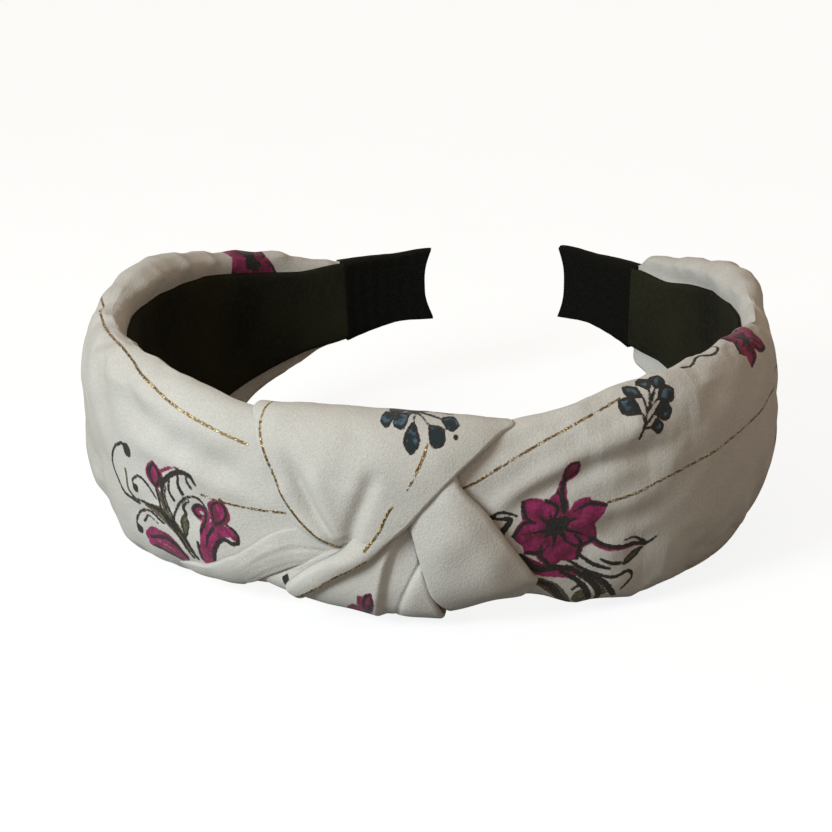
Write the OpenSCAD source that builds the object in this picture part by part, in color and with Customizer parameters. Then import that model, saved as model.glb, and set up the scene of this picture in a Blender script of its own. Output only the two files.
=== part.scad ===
// Padded fabric headband with a twisted knot at the front, lying on its lower long edge.
// Millimetres. +X runs across the head, +Y towards the two tips, +Z up.
// Places on the band are given by t, the angle round the hoop from the front (positive
// towards +X), by d, the distance outwards from the hoop curve, and by s, the height
// above the middle line of the band.

/* [Hoop] */
// Half the width across the hoop curve
hoop_half_width = 69; // [64:1:76]
// Front half-length of the hoop curve
hoop_front = 61; // [56:1:68]
// Back half-length that the hoop curve would have if it closed
hoop_back = 71; // [66:1:80]
// Angle round the hoop at which each arm ends
tip_angle = 165; // [162:1:168]
// Angle round the hoop at which each arm flexes
flex_angle = 32; // [31:1:36]

/* [Band] */
// Height of the band at the sides, its widest
side_height = 50; // [44:1:54]
// Height of the band at its narrowest, by the knot
crown_height = 33; // [32:1:38]
// Height of the band at its tips
tip_height = 16.4; // [15:0.2:18]
// How far the middle line of the left tip sits above the middle line of the sides
tip_rise_left = 8; // [4:0.5:10]
// The same for the right tip, higher because the strip is slightly twisted
tip_rise_right = 10; // [4:0.5:12]
// How far the padded face stands out from the hoop curve at the sides
puff_side = 8.8; // [7.5:0.1:10]
// How far it stands out under the knot
puff_crown = 7; // [6:0.1:8]
// How far it stands out behind the sides
puff_back = 5.6; // [5:0.1:6.5]
// Outward lean of the band for each millimetre of height
flare = 0.06; // [0:0.01:0.08]

/* [Layers] */
// Thickness of the plastic strip
core_thickness = 2; // [1.6:0.1:2.2]
// Height of the plastic strip at the crown
core_height = 26; // [22:1:27]
// Height of the plastic strip at its tips
core_tip_height = 14; // [12:0.5:14]
// Thickness of the printed fabric with its backing
fabric = 0.8; // [0.5:0.1:1]
// Thickness of the ribbon lining
lining = 1; // [0.6:0.1:1.2]
// Part of the band's height that the lining covers
lining_share = 0.74; // [0.6:0.01:0.9]
// Thickness of one strap of the knot
strap = 1.3; // [1:0.1:1.6]

/* [Hidden] */

// Free gap between neighbouring layers
gap = 0.15;
// Further room between the padding and the fabric, which creases into it
front_ease = 1.5;
back_ease = 0.7;
// Half of the free angle left at each flex line
flex_gap = 0.3;
// How far the fabric sleeve stands in from the hoop curve
sleeve_back = 2.3;
// Angle at which the band is narrowest, and the angle from there to its full height
crown_middle = 6;
crown_reach = 60;
// Angles between which the padding thins behind the sides
thin_start = 60;
thin_end = 110;
// Angle at which the band starts to taper
taper_start = 92;
// How far the tips stand out
puff_tip = 2.2;
// Angle at which each wing gives way to its tip wrap
wing_end = 149;
// Angle at which the padding of each arm ends
foam_end = 135;
// Place of the hoop's widest line, which puts the middle of the whole model at the origin
hoop_y = 0.99;
// Height cut off the rounded lower edge to leave the flat land that the band rests on
land = 0.5;
// Points round one section of the sleeve, and degrees between sections
ring_points = 28;
step = 4;
// Layers of the knot, counted outwards from the sleeve
layer_1 = gap;
layer_2 = layer_1 + strap + gap;
layer_3 = layer_2 + strap + gap;

function smooth(x) = let(u = max(0, min(1, x))) u * u * (3 - 2 * u);
function mix(a, b, u) = a + (b - a) * u;
function taper(t) = smooth((abs(t) - taper_start) / (tip_angle - taper_start));
function crown(t) = 1 - smooth(abs(t - crown_middle) / crown_reach);
function half_height(t) =
    mix(side_height, tip_height, taper(t)) / 2 - (side_height - crown_height) / 2 * crown(t);
function middle(t) = side_height / 2 - land + (t < 0 ? tip_rise_left : tip_rise_right) * taper(t);
function puff(t) =
    let(back = smooth((abs(t) - thin_start) / (thin_end - thin_start)))
    mix(mix(puff_side, puff_back, back), puff_tip, taper(t)) - (puff_side - puff_crown) * crown(t);
function core_half_height(t) = mix(core_height, core_tip_height, taper(t)) / 2;

// Point of the model at angle t round the hoop, d outwards and s above the middle line
function place(t, d, s) =
    let(b = cos(t) > 0 ? hoop_front : hoop_back,
        n = [b * sin(t), -hoop_half_width * cos(t)] / norm([b * sin(t), hoop_half_width * cos(t)]),
        out = d + flare * s)
    [hoop_half_width * sin(t) + n[0] * out, hoop_y - b * cos(t) + n[1] * out, middle(t) + s];

// Point [d, s] of the sleeve's rounded section at angle a round it, grown by k.
// a is 0 at the padded face, 90 at the upper edge and 180 at the inner face.
function skin(t, a, k) =
    let(depth = cos(a) > 0 ? puff(t) + k : sleeve_back + k,
        h = half_height(t) + k)
    [depth * sign(cos(a)) * pow(abs(cos(a)), 0.9),
     max(h * sign(sin(a)) * pow(abs(sin(a)), 0.6), land - h)];

function sleeve_ring(t, k) = [for (j = [0:ring_points - 1]) skin(t, j * 360 / ring_points, k)];
function box_ring(d0, d1, h) = [[d1, -h], [d1, h], [d0, h], [d0, -h]];
function foam_ring(t) =
    let(
        ease = front_ease + (back_ease - front_ease) * smooth((abs(t) - 95) / 25),
        k = -fabric - gap - ease,
        face = core_thickness / 2 + gap
    )
    concat([for (a = [-60:15:60]) skin(t, a, k)], [[face, skin(t, 60, k)[1]]],
        [for (a = [60:-120:-60]) [face, skin(t, a, k)[1]]]);
function angles(t0, t1) =
    let(n = ceil(abs(t1 - t0) / step))
    [for (i = [0:n]) mix(t0, t1, i / n)];

// Closed solid through rings of an even number of points
module loft(rings) {
    n = len(rings[0]);
    m = len(rings);
    last = (m - 1) * n;
    sides = [for (i = [0:m - 2], j = [0:n - 1])
        let(k = (j + 1) % n, p = i * n, q = p + n)
        each [[p + j, p + k, q + k], [p + j, q + k, q + j]]];
    ends = [for (j = [0:n / 2 - 2])
        each [[n - 2 - j, j + 1, j], [n - 1 - j, n - 2 - j, j],
            [last + j, last + j + 1, last + n - 2 - j], [last + j, last + n - 2 - j, last + n - 1 - j]]];
    polyhedron([for (r = rings) each r], concat(sides, ends));
}

// Section swept round the hoop from t0 up to t1
module sweep(t0, t1, section) {
    loft([for (t = angles(t0, t1)) [for (p = section(t)) place(t, p[0], p[1])]]);
}

// Strap lying on the sleeve, k to k + strap outwards. Each row of edges holds an angle
// round the section and the strap's left and right angles round the hoop there.
module knot_strap(edges, k) {
    columns = 8;
    first = edges[0][0];
    end = edges[len(edges) - 1][0];
    rows = ceil((first - end) / 8);
    left = [for (e = edges) [e[0], e[1]]];
    right = [for (e = edges) [e[0], e[2]]];
    loft([for (i = [0:rows])
        let(a = mix(first, end, i / rows), t0 = lookup(a, left), t1 = lookup(a, right))
        concat(
            [for (j = [0:columns]) let(t = mix(t0, t1, j / columns), p = skin(t, a, k + strap))
                place(t, p[0], p[1])],
            [for (j = [columns:-1:0]) let(t = mix(t0, t1, j / columns), p = skin(t, a, k))
                place(t, p[0], p[1])])]);
}

// Tube of fabric sewn to the padded section, open at both ends
module sleeve(t0, t1) {
    difference() {
        sweep(t0, t1, function(t) sleeve_ring(t, 0));
        sweep(t0 - 1, t1 + 1, function(t) sleeve_ring(t, -fabric));
    }
}

module core(t0, t1) {
    color("dimgray")
        sweep(t0, t1, function(t) box_ring(-core_thickness / 2, core_thickness / 2, core_half_height(t)));
}

module foam(t0, t1) {
    color("lightyellow") sweep(t0, t1, function(t) foam_ring(t));
}

module printed_sleeve(t0, t1) {
    color([0.86, 0.84, 0.81]) sleeve(t0, t1);
}

module inner_ribbon(t0, t1) {
    face = -sleeve_back - gap;
    color([0.10, 0.10, 0.07])
        sweep(t0, t1, function(t) box_ring(face - lining, face, lining_share * half_height(t)));
}

// Ribbon sewn round the end of one arm like a pocket
module tip_wrap(t0, t1) {
    ribbon = 0.6;
    room = core_thickness / 2 + gap;
    color([0.04, 0.04, 0.04]) difference() {
        sweep(t0, t1, function(t) box_ring(-room - ribbon, room + ribbon, core_half_height(t) + gap + ribbon));
        sweep(t0 - (t0 < 0 ? -0.6 : 1), t1 - (t0 < 0 ? -1 : 0.6),
            function(t) box_ring(-room, room, core_half_height(t) + gap));
    }
}

arm_start = flex_angle + flex_gap;
crown_stop = flex_angle - flex_gap;
core_end = tip_angle - 0.8;
wrap_start = wing_end + 0.3;

module core_crown() core(-crown_stop, crown_stop);
module core_arm_left() core(-core_end, -arm_start);
module core_arm_right() core(arm_start, core_end);
module knot_wadding() foam(-crown_stop, crown_stop);
module foam_left() foam(-foam_end, -arm_start);
module foam_right() foam(arm_start, foam_end);
module wing_left_tuck() printed_sleeve(-crown_stop, -gap);
module wing_right_tuck() printed_sleeve(gap, crown_stop);
module wing_left() printed_sleeve(-wing_end, -arm_start);
module wing_right() printed_sleeve(arm_start, wing_end);
module lining_crown() inner_ribbon(-crown_stop, crown_stop);
module lining_left() inner_ribbon(-wing_end, -arm_start);
module lining_right() inner_ribbon(arm_start, wing_end);
module tip_wrap_left() tip_wrap(-tip_angle, -wrap_start);
module tip_wrap_right() tip_wrap(wrap_start, tip_angle);

// Fold of the left wing's lower part, drawn into the knot
module wing_pleat() {
    color([0.86, 0.84, 0.81])
        knot_strap([[-8, -17, -13], [-16, -21, -12], [-30, -27, -13], [-42, -30, -15]], layer_1);
}

// Fan of fabric that comes over the upper edge and narrows to the lower left
module knot_front_strap() {
    color([0.88, 0.86, 0.84])
        knot_strap([[130, -15, 22], [100, -16, 24], [64, -16, 25], [47, -14, 25], [30, -13, 20],
            [16, -11, 16], [5, -9, 12.5], [-8, -7, 3], [-19, -9, -3], [-39, -12, -9]], layer_3);
}

// Strap that leaves the front strap towards the lower right
module knot_lower_strap() {
    color([0.88, 0.86, 0.84])
        knot_strap([[12, 9, 15], [0, 8.5, 20.5], [-14, 11, 25.5], [-28, 12, 27.5],
            [-36, 12.5, 23], [-47, 13.3, 18.5], [-56, 14, 15.5]], layer_2);
}

// Folded fabric below the two straps, turned under the lower edge
module knot_lower_fold() {
    color([0.84, 0.82, 0.80])
        knot_strap([[0, 5, 8.5], [-14, -1, 11], [-39, -9, 13], [-44, -11.5, 14], [-58, -10, 14],
            [-90, -8, 13], [-120, -6, 12]], layer_1);
}

core_crown();
core_arm_left();
core_arm_right();
knot_wadding();
foam_left();
foam_right();
wing_left_tuck();
wing_right_tuck();
wing_left();
wing_right();
wing_pleat();
knot_front_strap();
knot_lower_strap();
knot_lower_fold();
lining_crown();
lining_left();
lining_right();
tip_wrap_left();
tip_wrap_right();
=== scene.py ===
"""Knotted headband: printed crepe with woven gold stripes over a padded, sprung hoop.

Places on the band are given by t, the angle round the hoop from the front in degrees
(positive towards +X), and by b, the angle round the band's section (0 at the padded face,
90 at the upper edge, 180 at the inner face), or by q, the distance in millimetres along
the section from the middle of the padded face. k is a distance outwards from the sleeve's
plain section. All shapes are worked out in millimetres and stored in metres.
"""
import math

import bpy
import numpy as np
from mathutils import Matrix, Vector


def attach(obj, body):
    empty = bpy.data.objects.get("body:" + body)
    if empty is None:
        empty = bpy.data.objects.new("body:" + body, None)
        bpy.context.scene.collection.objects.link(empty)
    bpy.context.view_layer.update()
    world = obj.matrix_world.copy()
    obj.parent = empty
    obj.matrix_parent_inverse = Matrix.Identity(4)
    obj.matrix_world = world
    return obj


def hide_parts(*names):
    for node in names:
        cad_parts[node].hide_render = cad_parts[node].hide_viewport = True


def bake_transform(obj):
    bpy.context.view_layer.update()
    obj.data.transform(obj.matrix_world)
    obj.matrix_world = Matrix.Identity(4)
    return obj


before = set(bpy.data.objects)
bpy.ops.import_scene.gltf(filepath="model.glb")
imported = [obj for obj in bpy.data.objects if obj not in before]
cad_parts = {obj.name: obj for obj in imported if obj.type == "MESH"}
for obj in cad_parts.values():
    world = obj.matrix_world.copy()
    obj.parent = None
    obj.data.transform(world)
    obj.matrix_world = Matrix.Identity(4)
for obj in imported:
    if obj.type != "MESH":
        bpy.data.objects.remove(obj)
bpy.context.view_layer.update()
MM = 0.001

# ---- Driving sizes of the hoop and the band, in millimetres and degrees
HOOP_HALF_WIDTH = 69
HOOP_FRONT = 61
HOOP_BACK = 71
HOOP_Y = 0.99
TIP_ANGLE = 165
WING_START = 1.5
WING_END = 149
SIDE_HEIGHT = 50
CROWN_HEIGHT = 33
CROWN_MIDDLE = 6
CROWN_REACH = 60
TIP_HEIGHT = 16.4
TIP_RISE_LEFT = 8
TIP_RISE_RIGHT = 10
LAND = 0.5  # the flat resting edge is cut this far into the section
PUFF_SIDE = 8.8  # padding outside the hoop curve, here and in the next three
PUFF_CROWN = 7
PUFF_BACK = 5.6
PUFF_TIP = 2.2
SLEEVE_BACK = 2.3  # the sleeve's depth inside the hoop curve
FLARE = 0.06  # lean outwards for each millimetre of height
FACE_EDGE = 112  # b where the sleeve's face ends and the part along the lining starts
LINING_SHARE = 0.74  # the lining's width as a share of the band's
LINING_GAP = 0.15
LINING_THICKNESS = 1.1
LINING_EDGE = 0.1  # its thickness at the very edge


# ---- The band's surface
def smooth(x):
    u = np.clip(x, 0, 1)
    return u * u * (3 - 2 * u)


def mix(a, b, u):
    return a + (b - a) * u


def beyond(t, start, width):
    """Rises from 0 to 1 in the width degrees past start, on both sides."""
    return smooth((np.abs(t) - start) / width)


def taper(t):
    return beyond(t, 92, TIP_ANGLE - 92)


def crown(t):
    return 1 - smooth(np.abs(t - CROWN_MIDDLE) / CROWN_REACH)


def half_height(t):
    return mix(SIDE_HEIGHT, TIP_HEIGHT, taper(t)) / 2 - (SIDE_HEIGHT - CROWN_HEIGHT) / 2 * crown(t)


def middle(t):
    rise = np.where(np.asarray(t) < 0, TIP_RISE_LEFT, TIP_RISE_RIGHT)
    return SIDE_HEIGHT / 2 - LAND + rise * taper(t)


def puff(t):
    thin = beyond(t, 60, 50)
    side = mix(mix(PUFF_SIDE, PUFF_BACK, thin), PUFF_TIP, taper(t))
    return side - (PUFF_SIDE - PUFF_CROWN) * crown(t)


def place(t, d, s):
    """Point d outwards from the hoop curve and s above the band's middle line."""
    a = np.radians(t)
    back = np.where(np.cos(a) > 0, HOOP_FRONT, HOOP_BACK)
    nx = back * np.sin(a)
    ny = -HOOP_HALF_WIDTH * np.cos(a)
    out = (d + FLARE * s) / np.hypot(nx, ny)
    x = HOOP_HALF_WIDTH * np.sin(a) + nx * out
    y = HOOP_Y - back * np.cos(a) + ny * out
    return np.stack([x, y, middle(t) + s], -1)


def section(t, b):
    """The sleeve's section at t as (outwards, upwards)."""
    a = np.radians(b)
    depth = np.where(np.cos(a) > 0, puff(t), -SLEEVE_BACK)
    round_off = np.maximum(1 - np.abs(np.sin(a)) ** (10 / 3), 0) ** 0.45
    h = half_height(t)
    return depth * round_off, np.maximum(h * np.sin(a), LAND - h)


def skin(t, b, k, reach=1):
    """Point at distance k off the section, along its normal taken over b +- reach."""
    d, s = section(t, b)
    d0, s0 = section(t, b - reach)
    d1, s1 = section(t, b + reach)
    nd = s1 - s0
    ns = d0 - d1
    size = np.maximum(np.hypot(nd, ns), 1e-6)
    return place(t, d + k * nd / size, s + k * ns / size)


T_REACH = 166
Q_REACH = 70
Q_STEP = 0.5
T_TABLE = np.arange(-T_REACH, T_REACH + 1)
B_TABLE = np.arange(-180, 181)
Q_TABLE = np.arange(-Q_REACH, Q_REACH + 0.1, Q_STEP)


def arc_tables():
    """Distance round the section for each t and b, and b for each t and distance."""
    d, s = section(T_TABLE[:, None], B_TABLE[None, :])
    arc = np.cumsum(np.hypot(np.diff(d), np.diff(s)), 1)
    arc = np.concatenate([np.zeros((len(T_TABLE), 1)), arc], 1)
    arc = arc - arc[:, [180]]
    return arc, np.array([np.interp(Q_TABLE, row, B_TABLE) for row in arc])


ARC, B_OF_Q = arc_tables()


def bilinear(table, i, j):
    i = np.clip(i, 0, table.shape[0] - 1.001)
    j = np.clip(j, 0, table.shape[1] - 1.001)
    i0 = i.astype(int)
    j0 = j.astype(int)
    low = mix(table[i0, j0], table[i0 + 1, j0], i - i0)
    high = mix(table[i0, j0 + 1], table[i0 + 1, j0 + 1], i - i0)
    return mix(low, high, j - j0)


def arc_at(t, b):
    return bilinear(ARC, t + T_REACH, b + 180)


def angle_at(t, q):
    return bilinear(B_OF_Q, t + T_REACH, (q + Q_REACH) / Q_STEP)


def hoop_length(t):
    """Distance round the outside of the hoop from the front to t."""
    fine = np.linspace(-TIP_ANGLE, TIP_ANGLE, 1321)
    p = place(fine, puff(fine), 0 * fine)[:, :2]
    steps = np.hypot(*np.diff(p, axis=0).T)
    length = np.concatenate([[0], np.cumsum(steps)])
    return np.interp(t, fine, length - np.interp(0, fine, length))


def angle_of_x(x):
    """t of the skin point whose distance from the middle plane is x, near the front."""
    return np.degrees(np.arcsin(np.clip(x / (HOOP_HALF_WIDTH + PUFF_CROWN), -1, 1)))


# ---- Curves and distances
def heading(way):
    """Unit direction at way degrees."""
    return math.cos(math.radians(way)), math.sin(math.radians(way))


def through(points, n):
    """n points along a smooth curve through the given ones, evenly spaced in index."""
    p = np.asarray(points, float)
    ends = np.concatenate([[2 * p[0] - p[1]], p, [2 * p[-1] - p[-2]]])
    u = np.linspace(0, len(p) - 1, n)
    i = np.minimum(u.astype(int), len(p) - 2)
    f = (u - i)[:, None]
    a, b, c, d = ends[i], ends[i + 1], ends[i + 2], ends[i + 3]
    square = (2 * a - 5 * b + 4 * c - d) * f ** 2
    cube = (3 * b - a - 3 * c + d) * f ** 3
    return 0.5 * (2 * b + (c - a) * f + square + cube)


def line_distance(x, y, points):
    """Distance to a polyline, and how far along it the nearest point lies, from 0 to 1."""
    p = np.asarray(points, float)
    best = np.full(x.shape, 1e9)
    along = np.zeros(x.shape)
    for i in range(len(p) - 1):
        step = p[i + 1] - p[i]
        u = np.clip(((x - p[i, 0]) * step[0] + (y - p[i, 1]) * step[1]) / (step @ step), 0, 1)
        far = np.hypot(x - p[i, 0] - u * step[0], y - p[i, 1] - u * step[1])
        along = np.where(far < best, (i + u) / (len(p) - 1), along)
        best = np.minimum(best, far)
    return best, along


def ripple(x, y, size, seed):
    """Soft seeded waviness from -1 to 1 with features about size millimetres across."""
    rng = np.random.default_rng(seed)
    total = 0
    for _ in range(6):
        way = rng.uniform(0, math.tau)
        wave = rng.uniform(0.7, 1.5) / size
        along = x * math.cos(way) + y * math.sin(way)
        total = total + np.sin(math.tau * wave * along + rng.uniform(0, math.tau))
    return total / 4


# ---- Meshes
def mesh_object(name, points, faces, fields=None):
    mesh = bpy.data.meshes.new(name)
    mesh.from_pydata((np.asarray(points) * MM).tolist(), [], faces)
    for field, values in (fields or {}).items():
        attribute = mesh.attributes.new(field, "FLOAT", "POINT")
        attribute.data.foreach_set("value", np.asarray(values, np.float32).ravel())
    mesh.shade_smooth()
    piece = bpy.data.objects.new(name, mesh)
    bpy.context.scene.collection.objects.link(piece)
    return piece


def loft_faces(rings, first):
    """Outward faces of the closed solid through these rings, whose first point has this index."""
    m, n = rings.shape[:2]
    i, j = np.meshgrid(np.arange(m - 1), np.arange(n), indexing="ij")
    p = first + i * n + j
    q = first + i * n + (j + 1) % n
    faces = np.stack([p, q, q + n, p + n], -1).reshape(-1, 4).tolist()
    last = first + (m - 1) * n
    for a in range(n // 2 - 1):
        z = n - 1 - a
        faces.append([first + z, first + z - 1, first + a + 1, first + a])
        faces.append([last + a, last + a + 1, last + z - 1, last + z])
    a, b, c, d = rings.reshape(-1, 3)[np.array(faces) - first].transpose(1, 0, 2)
    volume = (a * np.cross(b, c) + a * np.cross(c, d)).sum()
    return faces if volume > 0 else [face[::-1] for face in faces]


def closed_loft(name, shells, fields=None):
    """One object of closed solids, each through its rings of points, shape (rings, points, 3)."""
    faces = []
    first = 0
    for rings in shells:
        faces += loft_faces(rings, first)
        first += rings.shape[0] * rings.shape[1]
    points = np.concatenate([rings.reshape(-1, 3) for rings in shells])
    return mesh_object(name, points, faces, fields)


# ---- Printed motifs
# Each motif works on fields of signed distances in millimetres: negative inside the
# shape. petal is the magenta fill, leaf the olive fill, blue the blue-black fill, ink
# the drawn lines and gold the distance to the nearest woven stripe.
FIELDS = ("petal", "leaf", "blue", "ink", "gold")
FAR = 9.0


class Print:
    def __init__(self, x, y):
        self.x = np.asarray(x, float)
        self.y = np.asarray(y, float)
        self.field = {name: np.full(self.x.shape, FAR) for name in FIELDS}

    def add(self, name, distance, where):
        self.field[name][where] = np.minimum(self.field[name][where], distance)

    def near(self, points, reach):
        p = np.asarray(points, float)
        low = p.min(0) - reach
        high = p.max(0) + reach
        return (self.x > low[0]) & (self.x < high[0]) & (self.y > low[1]) & (self.y < high[1])

    def stroke(self, points, width=0.5, end_width=None, swell=0.0, name="ink"):
        """Brush line through the points, wider by swell halfway."""
        end_width = width if end_width is None else end_width
        curve = through(points, 6 * len(points)) if len(points) > 2 else points
        where = self.near(curve, 3)
        if where.any():
            far, along = line_distance(self.x[where], self.y[where], curve)
            brush = mix(width, end_width, along) + swell * np.sin(math.pi * along)
            self.add(name, far - brush / 2, where)

    def dot(self, x, y, radius, name="ink"):
        self.stroke([(x, y), (x + 0.01, y)], 2 * radius, name=name)

    def stripe(self, points):
        """Woven gold stripe along a smooth line."""
        curve = through(points, 8 * len(points))
        where = self.near(curve, 4)
        if where.any():
            self.add("gold", line_distance(self.x[where], self.y[where], curve)[0], where)

    def petal(self, x, y, way, length, width, name="petal", peak=0.6, outline=0.0, halo=0.0):
        """Petal or leaf from its base at (x, y), pointing way degrees, widest at peak, with
        an inked outline inside its edge and its colour spread by halo past the edge."""
        c, s = heading(way)
        tip = (x + length * c, y + length * s)
        where = self.near([(x, y), tip], width + 3)
        if not where.any():
            return
        u = ((self.x[where] - x) * (tip[0] - x) + (self.y[where] - y) * (tip[1] - y)) / length
        v = -(self.x[where] - x) * (tip[1] - y) / length + (self.y[where] - y) * (tip[0] - x) / length
        share = np.clip(u / length, 0, 1)
        bend = share ** (math.log(0.5) / math.log(peak))
        half = width / 2 * np.sin(math.pi * bend) ** 0.8
        inside = np.abs(v) - half
        outside = np.hypot(u - length * share, np.maximum(inside, 0))
        edge = np.where((u > 0) & (u < length), inside * 0.9, outside)
        self.add(name, edge - halo, where)
        if outline:
            self.add("ink", np.abs(edge + outline / 2) - outline / 2, where)


def ragged_flower(p, x, y, petals, heart=1.7):
    """Magenta flower with pointed petals of uneven (direction, length, width), a dark heart
    that spreads into the petals, and dark tips."""
    p.dot(x, y, 0.48 * max(long for _, long, _ in petals), "petal")
    for i, (way, long, wide) in enumerate(petals):
        c, s = heading(way)
        cp, sp = heading(way + 90)
        p.petal(x, y, way, long, wide, peak=0.58, halo=0.25)
        p.petal(x + 0.22 * long * c, y + 0.22 * long * s, way + 26, 0.62 * long, 0.7 * wide, peak=0.6)
        side = 1 if i % 2 else -1
        edge = [(x + f * long * c + side * w * wide * cp, y + f * long * s + side * w * wide * sp)
                for f, w in ((0.42, 0.34), (0.7, 0.36), (0.98, 0.0))]
        p.stroke(edge, 0.35, 0.8, 0.2)
        reach = (0.62, 0.4, 0.75, 0.5)[i % 4]
        p.stroke([(x, y), (x + 0.3 * long * c + 0.3 * cp, y + 0.3 * long * s + 0.3 * sp),
                  (x + reach * long * c, y + reach * long * s)], 1.5, 0.25)
    p.dot(x, y, heart)
    p.dot(x + 0.7 * heart, y + 0.5 * heart, 0.7 * heart)


def cup_flower(p, x, y, way, size):
    """Small flower seen from the side: a cup and inked, blunt petals that fold outwards."""
    c, s = heading(way)
    p.petal(x, y, way, 0.95 * size, 0.5 * size, peak=0.6, outline=0.5, halo=0.3)
    base = (x + 0.48 * size * c, y + 0.48 * size * s)
    for side, share in ((58, 0.62), (8, 0.78), (-50, 0.7)):
        long = share * size
        p.petal(*base, way + side, long, 0.5 * long, peak=0.62, outline=0.55, halo=0.4)
    p.stroke([(x, y), (x + 0.3 * size * c, y + 0.3 * size * s), base], 0.9, 0.5)


def plume(p, points, claws, turn=1):
    """Curled leaf: a brushed rib with claws that hang from its end on the inner side."""
    curve = through(points, 24)
    p.stroke(points, 0.375, 0.75, 0.3)
    for f, long in claws:
        i = int(f * 23)
        way = math.atan2(*(curve[min(i + 1, 23)] - curve[i - 1])[::-1]) - turn * math.radians(72)
        x, y = curve[i]
        bow = way - turn * 0.35
        mid = (x + 0.55 * long * math.cos(way), y + 0.55 * long * math.sin(way))
        tip = (mid[0] + 0.5 * long * math.cos(bow), mid[1] + 0.5 * long * math.sin(bow))
        p.stroke([(x, y), mid, tip], 0.55, 1.05)


def curl(p, points, bead, width=0.55):
    """Fine tendril with a bead at its end."""
    p.stroke(points, width, 0.8 * width, 0.15)
    p.dot(*points[-1], bead)


def sprig(p, x, y, way, size, leaves):
    """Blue-black sprig: a forked stalk with rounded leaves at (along, aside, direction, length)."""
    c, s = heading(way)

    def at(along, aside):
        return x + size * (along * c - aside * s), y + size * (along * s + aside * c)

    p.stroke([at(0, 0), at(0.35, 0.02), at(0.75, -0.06)], 0.65, 0.5)
    for along, aside, turn, long in leaves:
        base = at(along, aside)
        p.stroke([at(max(along - 0.22, 0.15), 0), base], 0.5)
        p.petal(*base, way + turn, 1.12 * long * size, 0.92 * long * size, "blue", 0.6, outline=1.0)


SPRIG_LEAVES = (
    (0.20, -0.08, -62, 0.26), (0.34, 0.08, 75, 0.36), (0.42, -0.10, -58, 0.34),
    (0.60, 0.10, 68, 0.32), (0.66, -0.12, -42, 0.34), (0.76, 0.02, 28, 0.28),
    (0.82, -0.06, -14, 0.28),
)


# ---- Materials
class Nodes:
    """Short calls for building a material's node tree."""

    def __init__(self, name):
        self.material = bpy.data.materials.new(name)
        self.material.use_nodes = True
        self.tree = self.material.node_tree
        self.shader = self.tree.nodes["Principled BSDF"]

    def add(self, kind, inputs=None, **settings):
        node = self.tree.nodes.new(kind)
        for key, value in settings.items():
            setattr(node, key, value)
        for key, value in (inputs or {}).items():
            self.put(node.inputs[key], value)
        return node

    def put(self, socket, value):
        """Link or set a socket; colours are given as (r, g, b)."""
        if isinstance(value, bpy.types.NodeSocket):
            self.tree.links.new(value, socket)
        elif isinstance(value, tuple):
            socket.default_value = (*value, 1.0)
        else:
            socket.default_value = value

    def field(self, name):
        return self.add("ShaderNodeAttribute", attribute_name=name).outputs["Fac"]

    def math(self, operation, a, b=0.0):
        return self.add("ShaderNodeMath", {0: a, 1: b}, operation=operation).outputs[0]

    def below(self, value, edge, soft):
        """1 where value is under edge, 0 above it."""
        return self.level(value, edge - soft, edge + soft, 1.0, 0.0)

    def noise(self, scale, detail=2.0, rough=0.5):
        inputs = {"Scale": scale, "Detail": detail, "Roughness": rough, "Vector": self.place()}
        return self.add("ShaderNodeTexNoise", inputs).outputs["Fac"]

    def place(self):
        if not hasattr(self, "_place"):
            self._place = self.add("ShaderNodeTexCoord").outputs["Object"]
        return self._place

    def blend(self, amount, a, b):
        node = self.add("ShaderNodeMix", data_type="RGBA")
        self.put(node.inputs[0], amount)
        self.put(node.inputs[6], a)
        self.put(node.inputs[7], b)
        return node.outputs[2]

    def level(self, value, low, high, out_low=0.0, out_high=1.0):
        inputs = {0: value, 1: low, 2: high, 3: out_low, 4: out_high}
        return self.add("ShaderNodeMapRange", inputs).outputs[0]

    def bump(self, height, distance, strength):
        inputs = {"Height": height, "Distance": distance, "Strength": strength}
        return self.add("ShaderNodeBump", inputs).outputs["Normal"]

    def finish(self, **inputs):
        for key, value in inputs.items():
            self.put(self.shader.inputs[key.replace("_", " ")], value)
        return self.material


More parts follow.
